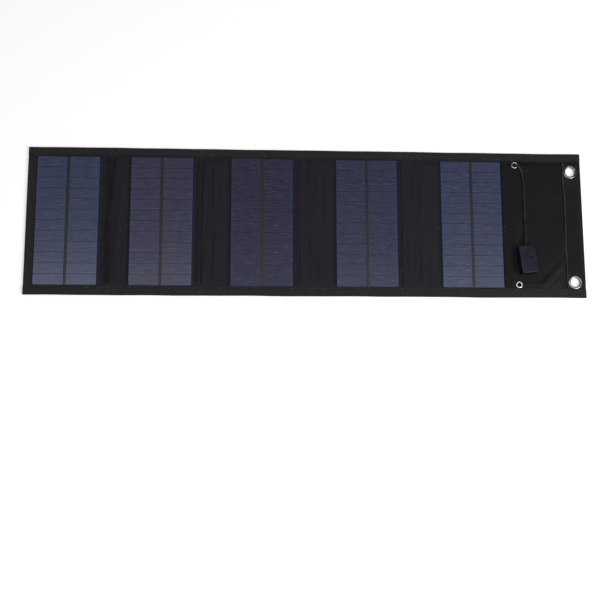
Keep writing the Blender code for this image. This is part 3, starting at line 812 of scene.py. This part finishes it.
def make_hem_roll():
    """The turned, raised inner edge of the wide end hem: a slim, wavy roll of cloth."""
    ys = np.linspace(BAND_BOTTOM + 1.0, BAND_TOP - 1.0, 150)
    points = []
    for y in ys:
        x = HEM_RIGHT + 0.65 * ripple(y, 0.0, 52.0, 31) + 0.2
        radius = ROLL_RADIUS + 0.16 * ripple(y, 5.0, 21.0, 32)
        for i in range(ROLL_SIDES):
            a = 2.0 * math.pi * i / ROLL_SIDES
            points.append((x + 1.15 * radius * math.cos(a), y, ROLL_Z + radius * math.sin(a)))
    points = np.array(points)
    wear_and_sheen = 0.45 + 0.45 * ripple(0.0, points[:, 1], 17.0, 33, lean=math.pi / 2, spread=0.3)
    roll = make_object("hem_roll", points, tube_faces(len(ys), ROLL_SIDES), ROLL_LOOK,
                       uvs=points[:, :2] * (2.0, 1.0), values={"wear_and_sheen": wear_and_sheen})
    fix_to(roll, "flap", "cloth")


make_hem_roll()


# ---- stitches
STITCH_PATH = [(-1.2, 0, -0.2), (-0.75, 0, 0.1), (0, 0, 0.2), (0.75, 0, 0.1), (1.2, 0, -0.2)]
STITCH = tube_template(STITCH_PATH, 0.23, 6)


def seam_frames(surface, line, outward, pitch=STITCH_PITCH):
    """Stitch frames along a line of (u, v) points on a surface."""
    line = np.asarray(line, float)
    steps = np.linalg.norm(np.diff(line, axis=0), axis=1)
    run = np.concatenate([[0.0], np.cumsum(steps)])
    count = max(2, int(run[-1] / pitch))
    at = (np.arange(count) + 0.5) * run[-1] / count
    u, v = [np.interp(at, run, side) for side in line.T]
    place = np.stack(surface(u, v), -1)
    up = surface_normals(surface, u, v) * outward
    ahead = [np.interp(at + 0.4, run, side) for side in line.T]
    way = np.stack(surface(*ahead), -1) - place
    way = way - up * np.sum(way * up, axis=-1, keepdims=True)
    length = np.linalg.norm(way, axis=-1, keepdims=True)
    way = np.where(length > 1e-6, way / np.maximum(length, 1e-9), [[0.0, 1.0, 0.0]])
    side = np.cross(up, way)
    return np.stack([place + up * CLOTH / 2, way, side, up], 1)


def sheet_u(x, v):
    """The cut's u coordinate for a place x on an end hem's upper layer."""
    radius = end_rise(v) / 2
    edge = HALF_LENGTH - CLOTH / 2 - radius
    return math.copysign(2.0 * edge + math.pi * radius - abs(x), x)


def sheet_v(y):
    """The cut's v coordinate for a place y on a long hem's upper layer."""
    return math.copysign(2.0 * LONG_FOLD + LONG_TURN - abs(y), y)


def make_stitches():
    """Every visible seam on the cloths, gathered by cloth piece."""
    frames = []
    for y in (BAND_TOP + HEM_SEAM, BAND_BOTTOM - HEM_SEAM):
        line = [(x, sheet_v(y)) for x in (-HALF_LENGTH + 3.0, HALF_LENGTH - 3.0)]
        frames.append(seam_frames(folded_sheet, line, -1.0))
    for x in (HEM_LEFT - 1.6, HEM_RIGHT + 2.2):
        ends = (BAND_BOTTOM + 1.5, BAND_TOP - 1.5)
        line = [(sheet_u(x, v), v) for v in np.linspace(*ends, 60)]
        frames.append(seam_frames(folded_sheet, line, -1.0))
    for low, high in PLATES:
        for x in (low[0] - STITCH_OUT, high[0] + STITCH_OUT):
            if x < HEM_LEFT + 1.0:
                continue
            line = [(x, low[1] + 1.0), (x, high[1] - 1.0)]
            frames.append(seam_frames(front_sheet, line, 1.0))
    frames = np.concatenate(frames)
    chance = np.random.RandomState(41)
    # painted glints: about one stitch in ten gets a lighter colour, standing in for the light it catches
    tint = np.where(chance.uniform(size=len(frames)) < 0.1, chance.uniform(0.2, 1.0, len(frames)), 0.02)
    ends = segment_ends(-HALF_LENGTH - 1.0, HALF_LENGTH + 1.0)
    for i, (start, end) in enumerate(ends):
        here = (frames[:, 0, 0] >= start) & (frames[:, 0, 0] < end)
        piece = stamp(f"stitches_{i + 1}", STITCH, frames[here], THREAD_LOOK, {"tint": tint[here]})
        bend_at_crease(piece)


make_stitches()


# ---- solar plates
CELL_LOOKS = (((0.022, 0.0245, 0.054), (0.021, 0.029, 0.07), 0.95),  # base, tint and gloss by plate
              ((0.0255, 0.022, 0.044), (0.0305, 0.0235, 0.046), 0.6),
              ((0.021, 0.0175, 0.037), (0.026, 0.0205, 0.04), 0.15),
              ((0.0225, 0.0225, 0.046), (0.0265, 0.0235, 0.05), 0.35),
              ((0.0275, 0.0305, 0.06), (0.0265, 0.0305, 0.068), 0.65))
CELL_ROWS = 12
CELL_GRID = (20, 6)  # faces along and up each cell
CELL_MARGIN = 0.45
CENTRE_STRIP = 3.4
CELL_GAP = 0.5
CELL_LIFT = 0.06  # the cells lie this far over their ground


def make_ground(k, low, high):
    """The plate's base laminate: a slab with soft edges and blue sides."""
    bm = bmesh.new()
    bmesh.ops.create_cube(bm, size=1.0)
    low, high = (*low[:2], GROUND_Z), (*high[:2], CELLS_Z)
    size = [b - a for a, b in zip(low, high)]
    centre = [(a + b) / 2 for a, b in zip(low, high)]
    for vert in bm.verts:
        vert.co = Vector([c + v * s for c, v, s in zip(centre, vert.co, size)])
    corners = [e for e in bm.edges if abs(e.verts[0].co.z - e.verts[1].co.z) > 0.1]
    bmesh.ops.bevel(bm, geom=corners, offset=1.1, segments=4, affect="EDGES", profile=0.5)
    rims = [e for e in bm.edges if all(v.co.z > CELLS_Z - 0.01 for v in e.verts)]
    bmesh.ops.bevel(bm, geom=rims, offset=0.4, segments=3, affect="EDGES", profile=0.5)
    points = [tuple(v.co) for v in bm.verts]
    faces = [tuple(v.index for v in f.verts) for f in bm.faces]
    bm.free()
    edge = [1.0 if p[2] < CELLS_Z - 0.02 else 0.0 for p in points]
    ground = make_object(f"laminate_{k}", points, faces, GROUND_LOOK, False, values={"edge": edge})
    fix_to(ground, f"panel_{k}", "film", f"cover_film_{k}")


def make_cells(k, low, high):
    """Two strings of twelve thin cells, each one a little crinkled under the film."""
    chance = np.random.RandomState(100 + k)
    width = (high[0] - low[0] - 2.0 * CELL_MARGIN - CENTRE_STRIP) / 2
    pitch = (high[1] - low[1] - 2.0 * CELL_MARGIN) / CELL_ROWS
    tall = pitch - CELL_GAP
    columns, rows = CELL_GRID
    across, up = np.meshgrid(np.arange(columns + 1) / columns, np.arange(rows + 1) / rows, indexing="ij")
    inner = np.minimum(6.0 * np.minimum(across, 1 - across), 4.0 * np.minimum(up, 1 - up))
    numbers = np.arange(across.size).reshape(across.shape)
    points, faces, uvs = [], [], []
    for string in range(2):
        x = low[0] + CELL_MARGIN + string * (width + CENTRE_STRIP) + across * width
        for row in range(CELL_ROWS):
            start = low[1] + CELL_MARGIN + row * pitch + CELL_GAP / 2
            y = start + up * tall
            tilt = chance.uniform(-0.02, 0.02, 2)
            shift = chance.randint(0, 400, 2)
            wavy = 0.02 * ripple(x, y, 9.0, 50 + k, lean=math.pi / 2, spread=0.5)
            lift = np.minimum(1.0, inner) * wavy + tilt[0] * (across - 0.5) + tilt[1] * (up - 0.5)
            faces += (grid_faces(numbers) + len(points) * numbers.size).tolist()
            points.append(np.stack([x, y, CELLS_Z + CELL_LIFT + lift], -1).reshape(-1, 3))
            uvs.append(np.stack([x + shift[0], y - start + shift[1] * FINGER_PITCH], -1).reshape(-1, 2))
    points = np.concatenate(points)
    # painted reflection: bluer cells near the plate's right edge, fainter near its left
    side = 0.6 * bell(high[0] - points[:, 0], 1.8) + 0.25 * bell(points[:, 0] - low[0], 3.0)
    look = cell_material(f"cells_{k}", *CELL_LOOKS[k - 1])
    cells = make_object(f"cells_{k}", points, faces, look, uvs=np.concatenate(uvs), values={"side": side})
    fix_to(cells, f"panel_{k}", "cell", f"cell_array_{k}")


for number, (plate_low, plate_high) in zip(PANELS, PLATES):
    make_ground(number, plate_low, plate_high)
    make_cells(number, plate_low, plate_high)


# ---- hook and loop strips
HOOK = tube_template([(0, 0, 0), (0, 0, 0.55), (0.2, 0, 0.85), (0.5, 0, 0.8), (0.62, 0, 0.55)], 0.13, 5)
LOOP = tube_template([(-0.5, 0, 0), (-0.42, 0, 0.3), (0, 0, 0.5), (0.42, 0, 0.3), (0.5, 0, 0)], 0.1, 4)
HOOK_PITCH = 1.45
LOOP_PITCH = 1.55
PILE_MARGIN = 2.3  # bare tape round the hooks or loops
TAPE_SEAM = 1.2  # the tape's stitches lie this far inside its edges


def tape_object(name, low, high, z_low, z_high, material):
    """A flat woven tape with rounded, slightly raised edges and a gentle wave along it."""
    xs = grid_lines(low[0], high[0], 2.0, [(low[0], low[0] + 1.6, 0.4), (high[0] - 1.6, high[0], 0.4)])
    ys = grid_lines(low[1], high[1], 2.5)
    x, y = np.meshgrid(xs, ys, indexing="ij")
    inset = np.minimum(x - low[0], high[0] - x)
    rounded = np.sqrt(np.clip(inset / 0.5, 0.02, 1.0))
    lift = 0.1 * bell(inset - 1.0, 0.6) + 0.05 * ripple(x, y, 14.0, 61)
    middle = (z_low + z_high) / 2
    half = (z_high - z_low) / 2
    top = middle + half * rounded + lift
    bottom = middle - half * rounded + lift * 0.4
    count = x.size
    index = np.arange(count).reshape(x.shape)
    upper = grid_faces(index)
    faces = [*upper.tolist(), *(upper[:, ::-1] + count).tolist()]
    ring = [*index[:-1, 0], *index[-1, :-1], *index[:0:-1, -1], *index[0, :0:-1]]
    for a, b in zip(ring, ring[1:] + ring[:1]):
        faces.append((int(b), int(a), int(a) + count, int(b) + count))
    points = np.concatenate([np.stack([x, y, z], -1).reshape(-1, 3) for z in (top, bottom)])
    return make_object(name, points, faces, material)


def pile_frames(low, high, pitch, base_z, down):
    """Places for hooks or loops over a tape, each turned and leaned a little by chance."""
    chance = np.random.RandomState(71)
    frames = []
    rows = int((high[1] - low[1] - 2.0 * PILE_MARGIN) / pitch)
    columns = int((high[0] - low[0] - 2.0 * PILE_MARGIN) / pitch)
    for row in range(rows + 1):
        for column in range(columns + 1):
            x = low[0] + PILE_MARGIN + column * pitch + chance.uniform(-0.2, 0.2)
            y = low[1] + PILE_MARGIN + row * pitch + chance.uniform(-0.2, 0.2)
            turn = chance.uniform(-0.5, 0.5) + (math.pi if column % 2 else 0.0)
            turn += 1.2 * (row % 2) if down else 0.0
            lean = Matrix.Rotation(chance.uniform(-0.3, 0.3), 3, "X")
            spin = Matrix.Rotation(turn, 3, "Z")
            flip = Matrix.Diagonal((1.0, -1.0, -1.0)) if down else Matrix.Identity(3)
            ways = np.array(flip @ spin @ lean).T
            frames.append(np.vstack([[x, y, base_z], ways]))
    return np.array(frames)


def flat_seam(low, high, z, down):
    """Stitch frames round a tape."""
    left, right = low[0] + TAPE_SEAM, high[0] - TAPE_SEAM
    bottom, top = low[1] + TAPE_SEAM, high[1] - TAPE_SEAM
    loop = [(left, bottom), (right, bottom), (right, top), (left, top), (left, bottom)]

    def plane(u, v):
        return u, v, np.full(np.shape(u), z + (CLOTH / 2 if down else -CLOTH / 2))

    return seam_frames(plane, loop, -1.0 if down else 1.0, 2.6)


def make_fastener(name, body, z_low, z_high, pile, pitch, look, down):
    """A strip of hooks or loops in the place of the CAD node of the same name."""
    low, high = box_mm(name)
    tape = tape_object(f"{name}_tape", low, high, z_low, z_high, look)
    face = z_low if down else z_high
    cover = stamp(f"{name}_pile", pile, pile_frames(low, high, pitch, face, down), look)
    seam = stamp(f"{name}_seam", STITCH, flat_seam(low, high, face, down), THREAD_LOOK)
    fix_to(tape, body, "fastener", name)
    fix_to(cover, body, "fastener")
    fix_to(seam, body, "fastener")


make_fastener("hook_strip", "flap", 2.1, 2.55, HOOK, HOOK_PITCH, HOOK_LOOK, False)
make_fastener("loop_strip", "panel_4", -0.42, -0.02, LOOP, LOOP_PITCH, LOOP_LOOK, True)


# ---- grommets and eyelets
GROMMET_SHAPE = (5.25, 7.8, 0.1, 2.8, 0.8)  # radius of the hole, outer radius, bottom, top, dome
WASHER_SHAPE = (5.75, 7.6, 0.1, 0.6, 0.45)
EYELET_RADII = (2.1, 3.9)
EYELET_STANDS = 0.75  # its rim over the cloth
EYELET_SIDES = 40


def ring_profile(hole, outer, bottom, top, dome):
    """A pressed ring: straight barrel, flat flange, and a rim that rolls over."""
    width = outer - hole
    shape = ((0.0, 1.0), (0.02, 0.55), (0.1, 0.14), (0.24, 0.0), (0.45, -0.04), (0.66, 0.0),
             (0.82, 0.12), (0.93, 0.36), (0.99, 0.7), (1.0, 1.0), (0.93, 1.15), (0.3, 1.15))
    profile = [(hole, bottom)]
    profile += [(hole + width * across, top - dome * down) for across, down in shape]
    return profile + [(hole + width * 0.16, bottom)]


def make_grommet(name, centre):
    """A grommet's ring over the cloths, and its washer behind them."""
    # the ring's darker nickel is a painted reflection, and its hole's wall a painted shade
    ring = lathe(f"grommet_{name}_ring", ring_profile(*GROMMET_SHAPE), centre, RING_LOOK,
                 inside=BARREL_LOOK)
    fix_to(ring, "flap", "nickel", f"grommet_{name}")
    low_ring = [(r, 0.25 - (z - 0.1) * 0.75) for r, z in ring_profile(*WASHER_SHAPE)]
    washer = lathe(f"grommet_{name}_washer_ring", low_ring[::-1], centre, RING_LOOK)
    fix_to(washer, "flap", "nickel", f"grommet_washer_{name}")


def make_eyelet(name, centre, bottom):
    """An eyelet's ring, standing a little over the front cloth."""
    top = front_height(*centre) + EYELET_STANDS
    profile = ring_profile(*EYELET_RADII, bottom, top, 0.6)
    eyelet = lathe(f"eyelet_{name}_ring", profile, centre, NICKEL_LOOK, EYELET_SIDES)
    fix_to(eyelet, "spine_5", "nickel", f"eyelet_{name}")


def make_eyelet_back(centre):
    """The lower eyelet's rim behind the back cloth."""
    under = [(r, -0.05 - z) for r, z in ring_profile(*EYELET_RADII, -0.1, 0.42, 0.4)]
    back = lathe("eyelet_lower_back", under[::-1], centre, NICKEL_LOOK, EYELET_SIDES)
    fix_to(back, "spine_5", "nickel")


for ring_name, ring_centre in zip(("upper", "lower"), GROMMETS):
    make_grommet(ring_name, ring_centre)
make_eyelet("upper", EYELETS[0], 1.1)
make_eyelet("lower", EYELETS[1], 0.5)
make_eyelet_back(EYELETS[1])


# ---- the lead and its socket box
CABLE_RADIUS = 1.3
CABLE_ROUTE = ((535.5, 68.0, 3.9), (539.6, 65.5, 3.7), (542.6, 60.5, 3.3), (543.8, 52.0, 3.2),
               (544.3, 40.0, 3.2), (544.4, 26.0, 3.2), (544.3, 12.0, 3.2), (544.1, -1.0, 3.4),
               (543.8, -11.0, 4.6), (543.3, -19.0, 6.7), (542.75, -25.2, 7.4))


def smooth_route(points, per_span):
    """More points along a smooth line through the given ones."""
    points = np.asarray(points, float)
    ends = np.vstack([2 * points[0] - points[1], points, 2 * points[-1] - points[-2]])
    route = []
    for i in range(len(points) - 1):
        before, a, b, after = ends[i:i + 4]
        for step in range(per_span):
            t = step / per_span
            route.append(0.5 * (2 * a + (b - before) * t + (2 * before - 5 * a + 4 * b - after) * t * t
                                + (3 * a - before - 3 * b + after) * t ** 3))
    return np.array([*route, points[-1]])


def make_lamp_rim():
    """A small dark lens rim, flush in the case's top over the lamp."""
    top = cad_high.z / MM
    profile = [(0.02, top - 0.3), (0.02, top - 0.06), (0.5, top - 0.02), (0.85, top + 0.05),
               (1.1, top + 0.04), (1.2, top - 0.05), (1.2, top - 0.3)]
    rim = lathe("lamp_rim", profile, middle_xy("charge_lamp"), LAMP_LOOK, 32)
    fix_to(rim, "usb_lead", "led")
    return rim


def make_lead(lamp_rim):
    route = smooth_route([(x - HALF_LENGTH, y, z) for x, y, z in CABLE_ROUTE], 3) * MM
    curve = bpy.data.curves.new("lead", "CURVE")
    curve.dimensions = "3D"
    curve.bevel_depth = CABLE_RADIUS * MM
    curve.bevel_resolution = 6
    curve.use_fill_caps = True
    line = curve.splines.new("POLY")
    line.points.add(len(route) - 1)
    for point, place in zip(line.points, route):
        point.co = (*place, 1.0)
    line.use_smooth = True
    curve.materials.append(CABLE_LOOK)
    lead = bpy.data.objects.new("lead", curve)
    bpy.context.scene.collection.objects.link(lead)
    fix_to(lead, "usb_lead", "cable", "usb_cable")


make_lead(make_lamp_rim())


def paint_nodes():
    """Better materials for the CAD nodes that stay in view or inside the strip."""
    looks = {"case_bottom": CASE_LOOK, "case_top": CASE_LOOK, "socket_shell": NICKEL_LOOK,
             "socket_tongue": TONGUE_LOOK, "circuit_board": CIRCUIT_LOOK, "charge_lamp": LAMP_LOOK,
             "power_coil": COPPER_LOOK, "cable_root": CABLE_LOOK}
    for k in PANELS:
        looks[f"backboard_{k}"] = BOARD_LOOK
        looks[f"link_wire_{k}"] = COPPER_LOOK
    for name, look in looks.items():
        node = frame["nodes"][name]
        for place in node.material_slots:
            place.material = look


paint_nodes()


# ---- floor and light
def make_floor():
    ways = ((-1, -1), (1, -1), (1, 1), (-1, 1))
    points = [(x * FLOOR_REACH, y * FLOOR_REACH, FLOOR_Z) for x, y in ways]
    make_object("floor", points, [(0, 1, 2, 3)], floor_material(), False)


def area_light(name, place, aim, size, power, colour=(1.0, 1.0, 1.0)):
    data = bpy.data.lights.new(name, "AREA")
    data.shape = "RECTANGLE"
    data.size, data.size_y = size
    data.energy = power
    data.color = colour
    light = bpy.data.objects.new(name, data)
    light.location = place
    way = Vector(aim) - Vector(place)
    light.rotation_euler = way.to_track_quat("-Z", "Y").to_euler()
    bpy.context.scene.collection.objects.link(light)


def make_light():
    area_light("overhead", (0.0, -0.25, 1.7), (0.0, -0.25, 0.0), (2.6, 1.05), 21.0)
    area_light("key", (0.95, -0.5, 0.95), (0.1, 0.0, 0.0), (0.6, 0.6), 9.0, (1.0, 0.99, 0.97))
    world = bpy.data.worlds.new("studio")
    world.use_nodes = True
    background = world.node_tree.nodes["Background"].inputs
    background["Color"].default_value = (0.93, 0.95, 1.0, 1.0)
    background["Strength"].default_value = 0.2
    bpy.context.scene.world = world
    bpy.context.scene.view_settings.view_transform = "Standard"


make_floor()
make_light()
